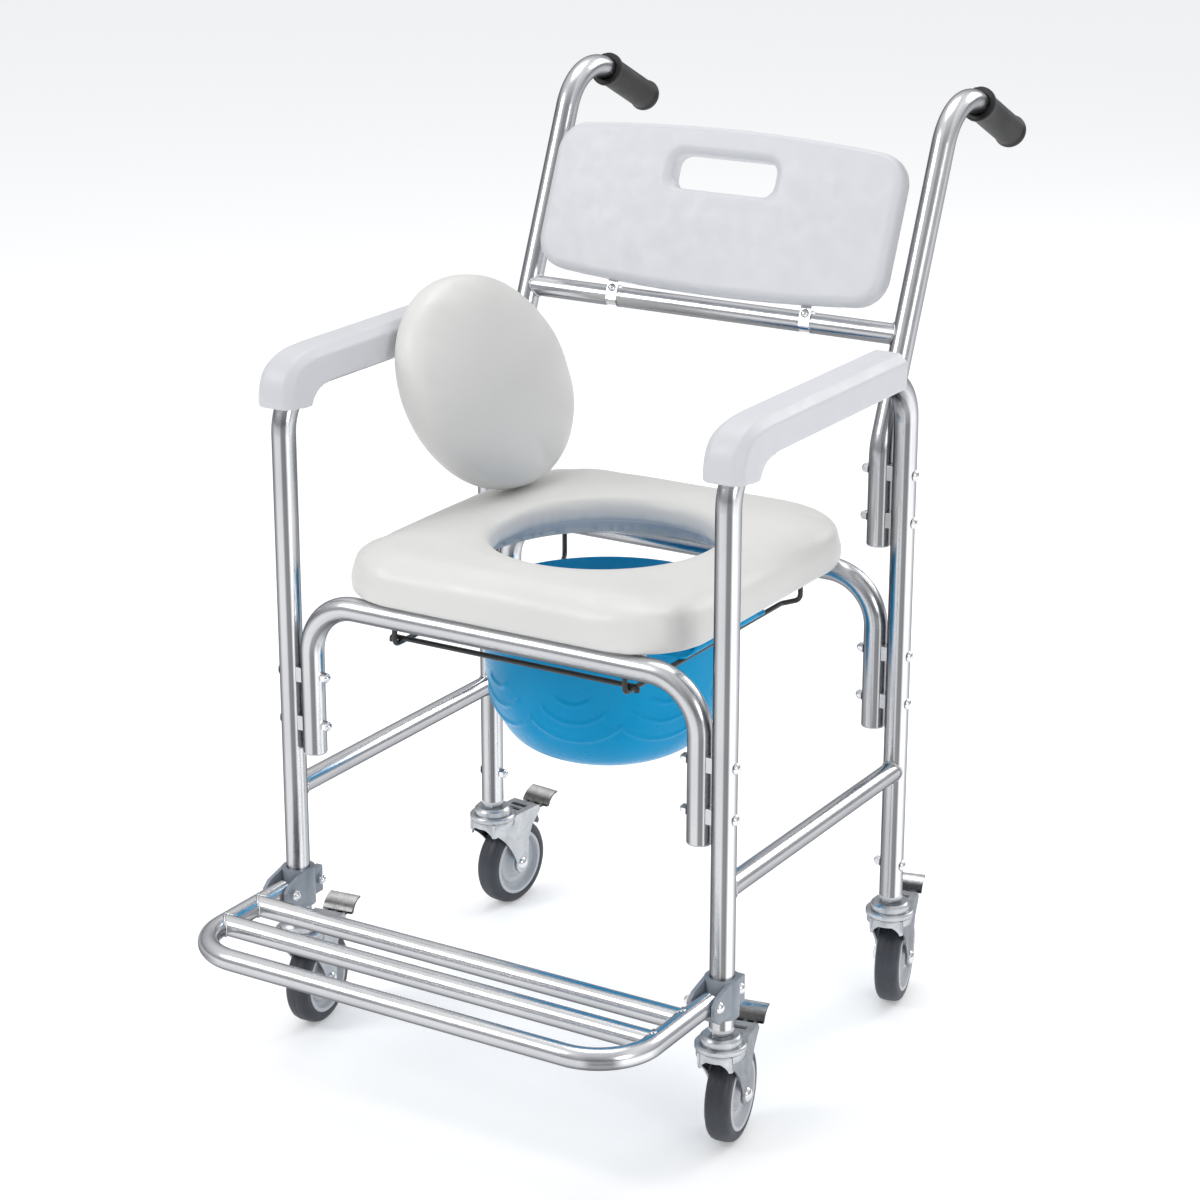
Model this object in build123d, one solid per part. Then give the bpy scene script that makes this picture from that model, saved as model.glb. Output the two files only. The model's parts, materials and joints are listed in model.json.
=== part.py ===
from build123d import *
import os
from math import atan, cos, degrees, radians, sin, sqrt

# Wheeled commode chair, in millimetres. +Z is up and the sitter faces -Y, so the sitter's left is +X.
# It is drawn with the front legs on y = 0; save() moves it so that the origin is on the floor, under
# the middle of the chair's bounding box.
os.makedirs("parts", exist_ok=True)

# ---- driving dimensions ------------------------------------------------------------------------
TUBE = 25.0              # legs, armrest runs, seat tubes and back tubes
SMALL_TUBE = 22.0        # side rails, crossbar and footrest
WALL = 1.5
LEG_X = 256.5            # half the spacing of the side frames
INNER_X = 229.0          # half the spacing of the seat tubes' ends and of the back tubes
LEG_DEPTH = 372.0        # from the front legs to the rear legs
LEG_FOOT_Z = 137.0       # lower ends of the legs
ARM_Z = 714.0            # axis of the armrest runs
ARM_BEND = 50.0
RAIL_Z = 281.0
SEAT_TUBE_Z = 491.0
SEAT_TUBE_BEND = 55.0
SEAT_TUBE_FOOT_Z = 327.0
SEAT_BOLT_Z = (357.0, 410.0)
BACK_TUBE_FOOT_Z = 528.0
BACK_BOLT_Z = (556.0, 607.0)
BACK_LEAN = 0.42         # rearward run of the back tubes for each unit of height
BACK_KNEE_Z = 631.0      # where the back tubes start to lean
CROSSBAR_Z = 740.0
HANDLE_PEAK_Z = 985.0    # height of the corner between back tube and push handle
HANDLE_FALL = 0.49             # drop of the push handle for each unit of length
HANDLE_END_Y = 664.0
SEAT_WIDTH = 406.0
SEAT_FRONT_Y = -16.0
SEAT_REAR_Y = 412.0
SEAT_TOP_Z = 553.0
HOLE_Y = 201.0
HOLE_HALF_WIDTH = 114.0
HOLE_HALF_LENGTH = 120.0
PAN_Y = 207.0
RACK_X = 136.0
RACK_Z = 456.0
FOOT_Z = 173.0
FOOT_PIVOT_Y = -31.0
FOOT_FRONT_Y = -192.0
FOOT_BAR_Y = (-72.0, -127.0)
WHEEL_RADIUS = 50.0
TYRE_WIDTH = 26.0
TRAIL = 32.0             # from the swivel axis back to the wheel's axle
CASTERS = {"front_left": (LEG_X, 0.0, 10.5), "front_right": (-LEG_X, 0.0, 6.5),
           "rear_left": (LEG_X, LEG_DEPTH, 14.0), "rear_right": (-LEG_X, LEG_DEPTH, -6.0)}

# ---- derived values ----------------------------------------------------------------------------
SIDES = {"left": 1, "right": -1}
TUBE_R = TUBE / 2
SMALL_R = SMALL_TUBE / 2
TUBE_BORE_R = TUBE_R - WALL
LEAN = degrees(atan(BACK_LEAN))
PAIR_X = (LEG_X + INNER_X) / 2
BOLT_R = 3.0
CLEARANCE = 0.3
SEAT_BOARD_Z = SEAT_TUBE_Z + TUBE_R + CLEARANCE
SEAT_BOARD = 6.0
SEAT_CORNERS = (75.0, 95.0)   # plan radii of the seat's front and rear corners
SEAT_ROUND = 24.0
BOARD_INSET = 12.0
HOLE_STEP = 26.0         # from the hole's edge to the edge of the board
BOARD_COVER = 4.0        # padding that covers the board's edge inside the hole
HOLE_LOW_Z = 521.0       # underside of the padding next to the hole
HOLE_ROUND = 16.0


def back_tube_y(z):
    """y of the back tubes' axis at a height above the knee."""
    return LEG_DEPTH + (z - BACK_KNEE_Z) * BACK_LEAN


HANDLE_PEAK = (back_tube_y(HANDLE_PEAK_Z), HANDLE_PEAK_Z)


def save(node, *solids):
    """Move one node to the chair's own origin and write it; more than one solid becomes a compound."""
    flat = []
    for item in solids:
        flat.extend((Pos(0, -middle_y, 0) * item).solids())
    shape = flat[0] if len(flat) == 1 else Compound(children=flat)
    shape.label = node
    export_step(shape, f"parts/{node}.step")


def cylinder_up(radius, height):
    """Cylinder that stands on the XY plane."""
    return Cylinder(radius, height, align=(Align.CENTER, Align.CENTER, Align.MIN))


def rod(start, end, radius):
    """Solid round bar between two points."""
    a, b = Vector(*start), Vector(*end)
    plane = Plane(origin=a, z_dir=b - a)
    return plane * cylinder_up(radius, (b - a).length)


def rod_x(centre, length, radius):
    """Solid round bar along X about its centre."""
    x, y, z = centre
    return rod((x - length / 2, y, z), (x + length / 2, y, z), radius)


def bent_tube(points, bends, radius, wall=WALL):
    """Hollow tube along straight runs joined by arcs."""
    path = FilletPolyline(*points, radius=bends)
    start = Plane(origin=path @ 0, z_dir=path % 0)
    return sweep(start * (Circle(radius) - Circle(radius - wall)), path=path)


def bent_wire(points, bend, radius):
    """Solid wire along straight runs joined by arcs."""
    path = FilletPolyline(*points, radius=bend)
    return sweep(Plane(origin=path @ 0, z_dir=path % 0) * Circle(radius), path=path)


def box(x, y, z):
    """Box from three (low, high) pairs."""
    size = [high - low for low, high in (x, y, z)]
    centre = [(low + high) / 2 for low, high in (x, y, z)]
    return Pos(*centre) * Box(*size)


def ellipse_column(centre_y, half_x, half_y, low, high):
    """Upright oval column."""
    return extrude(Pos(0, centre_y, low) * Ellipse(half_x, half_y), high - low)


# ---- fasteners ---------------------------------------------------------------------------------
BOLT_HEAD_R = 6.0
BOLT_HEAD = 4.0
NUT_FLATS = 10.0
NUT = 5.0
NUT_CROWN = (4.6, 4.0)   # radius and height of the nut's dome
NUT_BITE = 5.0           # length of bolt inside a nut on the frame
SHORT_BITE = 4.0


def dome(radius, height):
    """Low dome on the XY plane, pointing up."""
    ball_r = (radius ** 2 + height ** 2) / (2 * height)
    ball = Pos(0, 0, height - ball_r) * Sphere(ball_r)
    return ball & box((-radius, radius), (-radius, radius), (0, height))


def bolt_along(origin, direction, grip):
    """Round-headed bolt whose head rests at origin and whose shank runs along direction."""
    plane = Plane(origin=origin, z_dir=direction)
    head = Rot(180, 0, 0) * dome(BOLT_HEAD_R, BOLT_HEAD)
    return plane * (cylinder_up(BOLT_R, grip) + head)


def acorn_nut(origin, direction, depth):
    """Domed nut on a shank that reaches depth into it."""
    plane = Plane(origin=origin, z_dir=direction)
    body = extrude(RegularPolygon(NUT_FLATS / 2, 6, major_radius=False), NUT)
    cap = Pos(0, 0, NUT) * dome(*NUT_CROWN)
    return plane * (body + cap - cylinder_up(BOLT_R, depth))


def saddle(x, y, z):
    """Spacer between two upright tubes, hollowed on both sides to sit on them."""
    half_x, half_y, half_z = 8.0, 7.0, 8.0
    block = box((x - half_x, x + half_x), (y - half_y, y + half_y), (z - half_z, z + half_z))
    half_gap = (LEG_X - INNER_X) / 2
    for offset in (-half_gap, half_gap):
        block -= Pos(x + offset, y, z) * Cylinder(TUBE_R, 3 * half_z)
    return block - rod_x((x, y, z), TUBE, BOLT_R)


# ---- frame -------------------------------------------------------------------------------------
pair_bolts = []          # (side, y, z) of every bolt that joins an inner tube to a leg
for side in SIDES.values():
    pair_bolts += [(side, y, z) for y in (0.0, LEG_DEPTH) for z in SEAT_BOLT_Z]
    pair_bolts += [(side, LEG_DEPTH, z) for z in BACK_BOLT_Z]


def drill(tube, side):
    """Cut the pair bolts' holes on one side."""
    for hole_side, y, z in pair_bolts:
        if hole_side == side:
            tube -= rod_x((side * PAIR_X, y, z), 4 * TUBE, BOLT_R)
    return tube


STEM_BOLT_Z = 172.0
BUSH_TOP_Z = 182.0
BUSH_RIM = 3.0
BUSH_ROOF = 4.0          # plastic above the end of the post
STEM_R = 5.0


def side_frame(side):
    """Front leg, armrest run and rear leg, bent from one tube."""
    x = side * LEG_X
    points = [(x, 0, LEG_FOOT_Z), (x, 0, ARM_Z), (x, LEG_DEPTH, ARM_Z), (x, LEG_DEPTH, LEG_FOOT_Z)]
    tube = drill(bent_tube(points, ARM_BEND, TUBE_R), side)
    return tube - rod_x((x, LEG_DEPTH, STEM_BOLT_Z), 2 * TUBE, BOLT_R)


def side_rail(side):
    """Rail welded between the legs of one side, coped to them."""
    x = side * LEG_X
    rail = rod((x, 0, RAIL_Z), (x, LEG_DEPTH, RAIL_Z), SMALL_R)
    rail -= rod((x, 0, RAIL_Z), (x, LEG_DEPTH, RAIL_Z), SMALL_R - WALL)
    for y in (0, LEG_DEPTH):
        rail -= Pos(x, y, RAIL_Z) * Cylinder(TUBE_R, 2 * TUBE)
    return rail


def seat_tube(y):
    """Inverted U across the chair that carries the seat."""
    points = [(-INNER_X, y, SEAT_TUBE_FOOT_Z), (-INNER_X, y, SEAT_TUBE_Z),
              (INNER_X, y, SEAT_TUBE_Z), (INNER_X, y, SEAT_TUBE_FOOT_Z)]
    tube = bent_tube(points, SEAT_TUBE_BEND, TUBE_R)
    for side in SIDES.values():
        tube = drill(tube, side)
    return tube


HANDLE_END_Z = HANDLE_PEAK[1] - (HANDLE_END_Y - HANDLE_PEAK[0]) * HANDLE_FALL
HANDLE_BEND = 60.0
KNEE_BEND = 60.0


def back_tube(side):
    """Upright, leaning back tube with its push handle."""
    x = side * INNER_X
    points = [(x, LEG_DEPTH, BACK_TUBE_FOOT_Z), (x, LEG_DEPTH, BACK_KNEE_Z),
              (x, *HANDLE_PEAK), (x, HANDLE_END_Y, HANDLE_END_Z)]
    return drill(bent_tube(points, [KNEE_BEND, HANDLE_BEND], TUBE_R), side)


PLUG_CAP = 1.5
PLUG_DEPTH = 14.0


def tube_plug(x, y, z):
    """Plastic plug in the open lower end of a tube."""
    cap = rod((x, y, z - PLUG_CAP), (x, y, z), TUBE_R - CLEARANCE)
    return cap + rod((x, y, z), (x, y, z + PLUG_DEPTH), TUBE_BORE_R)


crossbar_y = back_tube_y(CROSSBAR_Z)
frames = {name: side_frame(side) for name, side in SIDES.items()}
back_tubes = {name: back_tube(side) for name, side in SIDES.items()}

# ---- backrest panel ----------------------------------------------------------------------------
PANEL_WIDTH = 418.0
PANEL_HEIGHT = 178.0
PANEL_THICK = 24.0
PANEL_FOOT_Z = 755.0
PANEL_ARCH = 11.0        # how far the top and bottom edges bow out in the middle
PANEL_CORNER = 34.0
PANEL_ROUND = 7.0
SLOT = (124.0, 38.0)
SLOT_CORNER = 13.0
SLOT_HEIGHT = 128.0      # middle of the hand slot above the panel's bottom edge
BEVEL = (138.0, 48.0)    # outer size of the bevelled recess round the slot's front
BEVEL_CORNER = 17.0
BEVEL_DEPTH = 5.0
PANEL_GAP = 0.2
CLIP_X = 118.0
PANEL_SCREW_UP = (46.0, 132.0)

panel_back_y = back_tube_y(PANEL_FOOT_Z) - (TUBE_R + PANEL_GAP) / cos(radians(LEAN))
panel_plane = Plane(origin=(0, panel_back_y, PANEL_FOOT_Z), x_dir=(1, 0, 0),
                    z_dir=(0, -cos(radians(LEAN)), sin(radians(LEAN))))


def backrest_panel():
    """Moulded panel with bowed edges, round corners and a hand slot."""
    half = PANEL_WIDTH / 2
    low, high = PANEL_ARCH, PANEL_HEIGHT - PANEL_ARCH
    edges = [ThreePointArc((-half, low), (0, 0), (half, low)), Line((half, low), (half, high)),
             ThreePointArc((half, high), (0, PANEL_HEIGHT), (-half, high)), Line((-half, high), (-half, low))]
    outline = make_face(edges)
    outline = fillet(outline.vertices(), PANEL_CORNER)
    body = extrude(outline, PANEL_THICK)
    body = fillet(body.edges().group_by(Axis.Z)[-1], PANEL_ROUND)
    body = fillet(body.edges().group_by(Axis.Z)[0], PANEL_ROUND / 2)
    body -= Pos(0, SLOT_HEIGHT, 0) * extrude(RectangleRounded(*SLOT, SLOT_CORNER), PANEL_THICK)
    recess = loft([Pos(0, SLOT_HEIGHT, PANEL_THICK - BEVEL_DEPTH) * RectangleRounded(*SLOT, SLOT_CORNER),
                   Pos(0, SLOT_HEIGHT, PANEL_THICK) * RectangleRounded(*BEVEL, BEVEL_CORNER)])
    body = panel_plane * (body - recess)
    for x, up in panel_screws:
        body -= screw_hole(x, up)
    return body


panel_screws = [(side * CLIP_X, up) for side in SIDES.values() for up in PANEL_SCREW_UP]
SCREW_R = 2.5
SCREW_BITE = 14.0
STRAP_WIDTH = 12.0
STRAP_THICK = 1.5
STRAP_UP = (-10.0, 148.0)     # ends of a strap along the panel's back
CLIP_SCREW_UP = -4.0
PANEL_SCREW_HEAD = (5.0, 3.0)
CLIP_SCREW_HEAD = (5.0, 4.5)


def screw_hole(x, up):
    """Blind hole in the panel's back face."""
    return panel_plane * Pos(x, up, 0) * cylinder_up(SCREW_R, SCREW_BITE)


def panel_strap(x):
    """Upright strap from the crossbar's upper front up the panel's back, with its screw holes."""
    half = STRAP_WIDTH / 2
    strap = box((x - half, x + half), STRAP_UP, (-STRAP_THICK, 0))
    for up in (CLIP_SCREW_UP, *PANEL_SCREW_UP):
        strap -= Pos(x, up, 0) * Cylinder(SCREW_R, 4 * STRAP_THICK)
    return panel_plane * strap


def panel_screw(x, up):
    """Round-headed screw through a strap into the panel."""
    screw = cylinder_up(SCREW_R, STRAP_THICK + SCREW_BITE) + Rot(180, 0, 0) * dome(*PANEL_SCREW_HEAD)
    return panel_plane * Pos(x, up, -STRAP_THICK) * screw


def crossbar_clip(x):
    """Saddle round the back of the crossbar, behind a strap."""
    ring = rod_x((x, crossbar_y, CROSSBAR_Z), STRAP_WIDTH, SMALL_R + STRAP_THICK)
    ring -= rod_x((x, crossbar_y, CROSSBAR_Z), 2 * STRAP_WIDTH, SMALL_R)
    reach = 3 * SMALL_R
    behind = panel_plane * box((x - reach, x + reach), (-2 * reach, 2 * reach), (-2 * reach, -STRAP_THICK))
    return ring & behind


def clip_screw(x):
    """Round-headed screw at the foot of a strap."""
    shank = Pos(0, 0, -STRAP_THICK) * cylinder_up(SCREW_R, STRAP_THICK)
    return panel_plane * Pos(x, CLIP_SCREW_UP, 0) * (shank + dome(*CLIP_SCREW_HEAD))


# ---- armrest pads and grips --------------------------------------------------------------------
PAD_HALF = 22.5
PAD_TOP_Z = 747.0
PAD_SKIRT_Z = 710.0
PAD_END_Y = 326.0
PAD_FRONT_Z = 693.0
PAD_NOSE_Y = -19.0
PAD_CREST_Y = 48.0       # where the flat top starts to fall towards the nose
PAD_NOSE_Z = 734.0       # height that the nose's curve aims at
PAD_THROAT = (21.0, 690.0)    # rear corner of the nose's foot
PAD_SKIRT_Y = 64.0       # front end of the straight skirt
PAD_CHAMFER = (9.0, 8.0)


def armrest_pad(side):
    """Moulded pad that wraps the armrest run and the front bend of the side frame."""
    x = side * LEG_X
    with BuildSketch(Plane.YZ) as profile:
        with BuildLine():
            Polyline((PAD_END_Y, PAD_SKIRT_Z), (PAD_END_Y, PAD_TOP_Z), (PAD_CREST_Y, PAD_TOP_Z))
            nose = (PAD_NOSE_Y, PAD_FRONT_Z)
            Bezier((PAD_CREST_Y, PAD_TOP_Z), (0, PAD_TOP_Z), (PAD_NOSE_Y, PAD_NOSE_Z), nose)
            Line(nose, PAD_THROAT)
            Bezier(PAD_THROAT, (24, 704), (38, PAD_SKIRT_Z), (PAD_SKIRT_Y, PAD_SKIRT_Z))
            Line((PAD_SKIRT_Y, PAD_SKIRT_Z), (PAD_END_Y, PAD_SKIRT_Z))
        make_face()
    body = Pos(x - PAD_HALF, 0, 0) * extrude(profile.sketch, 2 * PAD_HALF, dir=(1, 0, 0))
    # The long top edges and the curved edges of the nose.
    upper = [edge for edge in body.edges() if edge.center().Z > PAD_SKIRT_Z + 4 and edge.length > PAD_SKIRT_Y
             and abs(abs(edge.center().X - x) - PAD_HALF) < CLEARANCE]
    return chamfer(upper, *PAD_CHAMFER) - armrest_core(x)


def armrest_core(x):
    """The space that the bent tube takes inside a pad, open underneath the run."""
    points = [(x, 0, LEG_FOOT_Z), (x, 0, ARM_Z), (x, LEG_DEPTH, ARM_Z)]
    path = FilletPolyline(*points, radius=ARM_BEND)
    core = sweep(Plane(origin=path @ 0, z_dir=path % 0) * Circle(TUBE_R), path=path)
    slot = box((x - TUBE_R, x + TUBE_R), (ARM_BEND, LEG_DEPTH), (PAD_FRONT_Z, ARM_Z))
    return core + slot


GRIP_START_Y = 578.0
GRIP_R = 16.5
GRIP_COLLAR = (19.0, 6.0)     # radius and length
GRIP_BULGE = (18.0, 11.0)
GRIP_END = 5.0           # rubber beyond the end of the tube


def handle_grip(side):
    """Ribbed sleeve with a collar and a closed, bulged end."""
    x = side * INNER_X
    slope = sqrt(1 + HANDLE_FALL ** 2)
    start = Vector(x, GRIP_START_Y, HANDLE_PEAK[1] - (GRIP_START_Y - HANDLE_PEAK[0]) * HANDLE_FALL)
    along = Vector(0, 1, -HANDLE_FALL) / slope
    bore = (HANDLE_END_Y - GRIP_START_Y) * slope
    length = bore + GRIP_END
    bulge = Pos(0, 0, length - GRIP_BULGE[1]) * cylinder_up(*GRIP_BULGE)
    grip = cylinder_up(GRIP_R, length) + cylinder_up(*GRIP_COLLAR)
    grip += fillet(bulge.edges().filter_by(GeomType.CIRCLE), GRIP_END)
    return Plane(origin=start, z_dir=along) * (grip - cylinder_up(TUBE_R, bore))


# ---- pan and rack ------------------------------------------------------------------------------
WIRE_R = 2.75
RACK_BEND = 6.0
RACK_JOG = 11.0          # outward step of the rails' rear ends, so that the pan slides out past them
RACK_JOG_RUN = 22.0
CROSS_OVERHANG = 9.0     # cross wire beyond the rails
CROSS_SET_BACK = 8.0
CROSS_BEND = 2.74
WIRE_OFF = TUBE_R + WIRE_R
PAN_WALL = 2.5
PAN_RIM_R = 139.0
PAN_TOP_R = 131.0
BEAD_HEIGHT = 14.0       # raised edge on top of the rim
BEAD_WIDTH = 4.0
# Outer wall of the pan as (radius, height), from the edge of the flat floor up to the rim.
PAN_CURVE = ((64.0, 313.0), (98.0, 330.0), (119.0, 362.0), (128.0, 402.0))
WING_HALF = 88.0         # half the length of the flat wings that lie on the rails
WING_REACH = 6.0         # wing beyond the middle of a rail
WING_CORNER = 10.0
WING_LIP = (2.0, 4.0)    # width and height of the edge turned up along a wing
WING_LIP_HALF = 64.0
RIM_Z = RACK_Z + WIRE_R + CLEARANCE
RIM = 3.0


def pan_rack():
    """Bent wire rails under the seat tubes, with a cross wire at the front."""
    front, rear = WIRE_OFF, LEG_DEPTH - WIRE_OFF
    solids = []
    for side in SIDES.values():
        x, post = side * RACK_X, side * (RACK_X + RACK_JOG)
        points = [(x, front, SEAT_TUBE_Z), (x, front, RACK_Z), (x, rear - RACK_JOG_RUN, RACK_Z),
                  (post, rear, RACK_Z), (post, rear, SEAT_TUBE_Z)]
        solids.append(bent_wire(points, [RACK_BEND, 1.5 * RACK_BEND, RACK_BEND], WIRE_R))
    half, y, cross_z = RACK_X + CROSS_OVERHANG, front + CROSS_SET_BACK, RACK_Z + 2 * WIRE_R
    points = [(-half, y, RACK_Z), (-half, y, cross_z), (half, y, cross_z), (half, y, RACK_Z)]
    return solids + [bent_wire(points, CROSS_BEND, WIRE_R)]


def pan():
    """Tub with a flanged, beaded rim; flat side wings lie on the rack's rails."""
    outer = [*PAN_CURVE, (PAN_TOP_R, RIM_Z)]
    # The inner wall follows the outer one, and starts at the top of the floor.
    inner = [(PAN_TOP_R - PAN_WALL, RIM_Z + RIM)]
    inner += [(radius - PAN_WALL, z + 1) for radius, z in reversed(PAN_CURVE[1:])]
    inner.append((PAN_CURVE[0][0], PAN_CURVE[0][1] + PAN_WALL))
    with BuildSketch(Plane.XZ) as profile:
        with BuildLine():
            Line((0, PAN_CURVE[0][1]), outer[0])
            Spline(*outer, tangents=[(1, 0), (0.04, 1)])
            Polyline(outer[-1], (PAN_RIM_R, RIM_Z), (PAN_RIM_R, RIM_Z + RIM), inner[0])
            Spline(*inner, tangents=[(-0.04, -1), (-1, 0)])
            Polyline(inner[-1], (0, inner[-1][1]), (0, PAN_CURVE[0][1]))
        make_face()
    tub = revolve(profile.sketch, Axis.Z)
    wing_out = RACK_X + WING_REACH
    wing = Pos(0, 0, RIM_Z) * extrude(RectangleRounded(2 * wing_out, 2 * WING_HALF, WING_CORNER), RIM)
    tub += wing - Pos(0, 0, RIM_Z) * Cylinder(PAN_TOP_R, 4 * RIM)
    tub += Pos(0, 0, RIM_Z) * extrude(Circle(PAN_RIM_R) - Circle(PAN_RIM_R - BEAD_WIDTH), RIM + BEAD_HEIGHT)
    for side in SIDES.values():
        x = sorted((side * (wing_out - WING_LIP[0]), side * wing_out))
        tub += box(x, (-WING_LIP_HALF, WING_LIP_HALF), (RIM_Z, RIM_Z + RIM + WING_LIP[1]))
    return Pos(0, PAN_Y, 0) * tub


# ---- seat and lid ------------------------------------------------------------------------------
SEAT_CLIP_X = 150.0
SEAT_CLIP_WIDTH = 24.0
SEAT_CLIP = 2.7
LID_HALF = (131.0, 112.0)
LID_ROUND = (18.0, 10.0)      # front and back edges
LID_BOARD_INSET = 16.0
LID_THICK = 42.0
LID_BOARD = 6.0
LID_CENTRE = (-178.2, 254.0, 672.3)
LID_NORMAL = (0.957, -0.11, 0.268)
LID_LONG = (0.257, 0.77, -0.585)


def seat_blank(inset, low, high):
    """Block with the seat's plan shape, whose rear corners are rounder than its front ones."""
    front, rear = SEAT_FRONT_Y + inset, SEAT_REAR_Y - inset
    face = Pos(0, (front + rear) / 2) * Rectangle(SEAT_WIDTH - 2 * inset, rear - front)
    face = fillet(face.vertices().group_by(Axis.Y)[0], SEAT_CORNERS[0] - inset)
    face = fillet(face.vertices().group_by(Axis.Y)[-1], SEAT_CORNERS[1] - inset)
    return Pos(0, 0, low) * extrude(face, high - low)


def hole_column(margin, low, high):
    """Column of the oval hole's shape, wider by a margin."""
    return ellipse_column(HOLE_Y, HOLE_HALF_WIDTH + margin, HOLE_HALF_LENGTH + margin, low, high)


def seat_cushion():
    """Plain solid of the padded seat: it wraps the board, and is thinner round its oval hole."""
    low = SEAT_BOARD_Z + CLEARANCE
    body = seat_blank(0, low, SEAT_TOP_Z)
    body = fillet(body.edges().group_by(Axis.Z)[-1], SEAT_ROUND)
    body = fillet(body.edges().group_by(Axis.Z)[0], SEAT_ROUND / 4)
    board_top = SEAT_BOARD_Z + SEAT_BOARD + CLEARANCE
    pocket = seat_blank(BOARD_INSET - CLEARANCE, low - 1, board_top)
    body -= pocket - hole_column(HOLE_STEP - CLEARANCE, low - 2, SEAT_TOP_Z)
    body -= hole_column(HOLE_STEP - BOARD_COVER, low - 1, HOLE_LOW_Z)
    body -= hole_column(0, low - 1, SEAT_TOP_Z + 1)
    inside = HOLE_HALF_WIDTH + 1
    rim = [edge for edge in body.edges().group_by(Axis.Z)[-1]
           if edge.bounding_box().max.X < inside and edge.bounding_box().min.X > -inside]
    return fillet(rim, HOLE_ROUND)


def seat_board():
    """Board in the underside of the seat padding."""
    board = seat_blank(BOARD_INSET, SEAT_BOARD_Z, SEAT_BOARD_Z + SEAT_BOARD)
    return board - hole_column(HOLE_STEP, SEAT_BOARD_Z - 1, SEAT_TOP_Z)


def seat_clip(x, y):
    """Quarter ring under the board that drops over the inner side of a seat tube."""
    width, inner = SEAT_CLIP_WIDTH, TUBE_R + CLEARANCE
    ring = rod_x((x, y, SEAT_TUBE_Z), width, inner + SEAT_CLIP) - rod_x((x, y, SEAT_TUBE_Z), 2 * width, inner)
    inward = TUBE if y < HOLE_Y else -TUBE
    return ring & box((x - width, x + width), sorted((y, y + inward)), (SEAT_TUBE_Z, SEAT_BOARD_Z))


lid_plane = Plane(origin=LID_CENTRE, x_dir=LID_LONG, z_dir=LID_NORMAL)


def lid_cushion():
    """Plain solid of the padded lid."""
    body = Pos(0, 0, LID_BOARD - LID_THICK / 2 - LID_BOARD / 2) * extrude(Ellipse(*LID_HALF), LID_THICK)
    body = fillet(body.edges().group_by(Axis.Z)[-1], LID_ROUND[0])
    body = fillet(body.edges().group_by(Axis.Z)[0], LID_ROUND[1])
    return lid_plane * body


def lid_board():
    """Oval board on the lid's back."""
    face = Ellipse(LID_HALF[0] - LID_BOARD_INSET, LID_HALF[1] - LID_BOARD_INSET)
    return lid_plane * Pos(0, 0, -LID_THICK / 2 - LID_BOARD / 2) * extrude(face, LID_BOARD)


# ---- footrest ----------------------------------------------------------------------------------
CLAMP_R = 17.5
CLAMP_Z = (150.0, 191.0)
CHEEK_GAP = 0.4
CHEEK = 4.2
CHEEK_FRONT_Y = FOOT_PIVOT_Y - 11
STOP_Z = (156.0, 161.4)  # the stop under the footrest's arm
LUG_HALF = 9.0           # half the width over the two lugs behind the leg
LUG_Y = (10.0, 30.0)
SPLIT_HALF = 1.5
CLAMP_SCREW_Y = 23.0
CLAMP_SCREW_Z = 170.0
FOOT_BEND = 60.0
FOOT_END_Y = FOOT_PIVOT_Y + 3.5
PIVOT_PLAY = 0.05


def footrest_frame():
    """U of tube with drilled rear ends."""
    points = [(-LEG_X, FOOT_END_Y, FOOT_Z), (-LEG_X, FOOT_FRONT_Y, FOOT_Z),
              (LEG_X, FOOT_FRONT_Y, FOOT_Z), (LEG_X, FOOT_END_Y, FOOT_Z)]
    tube = bent_tube(points, FOOT_BEND, SMALL_R)
    for side in SIDES.values():
        tube -= rod_x((side * LEG_X, FOOT_PIVOT_Y, FOOT_Z), 2 * TUBE, BOLT_R + PIVOT_PLAY)
    return tube


def footrest_bar(y):
    """Cross bar welded between the arms of the footrest, coped to them."""
    bar = rod_x((0, y, FOOT_Z), 2 * LEG_X, SMALL_R) - rod_x((0, y, FOOT_Z), 2 * LEG_X, SMALL_R - WALL)
    for side in SIDES.values():
        x = side * LEG_X
        bar -= rod((x, y - 2 * TUBE, FOOT_Z), (x, y + 2 * TUBE, FOOT_Z), SMALL_R)
    return bar


def footrest_clamp(side):
    """Cast clamp round a front leg, with two cheeks and a stop that hold the footrest."""
    x = side * LEG_X
    low, high = CLAMP_Z
    body = Pos(x, 0, (low + high) / 2) * Cylinder(CLAMP_R, high - low)
    inner = SMALL_R + CHEEK_GAP
    front, foot = CHEEK_FRONT_Y, STOP_Z[0]
    with BuildSketch(Plane.YZ) as profile:
        with BuildLine():
            Polyline((0, foot), (front + 9, foot), (front, FOOT_Z - 6), (front, FOOT_Z + 4),
                     (front + 8, FOOT_Z + 11), (-8, high), (0, high), (0, foot))
        make_face()
    for cheek_x in (x - inner - CHEEK, x + inner):
        body += Pos(cheek_x, 0, 0) * extrude(profile.sketch, CHEEK, dir=(1, 0, 0))
    body += box((x - inner, x + inner), (front + 10, -TUBE_R), STOP_Z)
    body += box((x - LUG_HALF, x + LUG_HALF), LUG_Y, (low + 4, high - 8))
    body -= Pos(x, 0, FOOT_Z) * Cylinder(TUBE_R, 4 * TUBE)
    body -= rod_x((x, FOOT_PIVOT_Y, FOOT_Z), 3 * TUBE, BOLT_R)
    # Split at the back, closed by the clamp screw.
    body -= box((x - SPLIT_HALF, x + SPLIT_HALF), (CLAMP_R / 2, 2 * CLAMP_R), (low - 1, high + 1))
    return body - rod_x((x, CLAMP_SCREW_Y, CLAMP_SCREW_Z), 3 * TUBE, BOLT_R)


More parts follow.
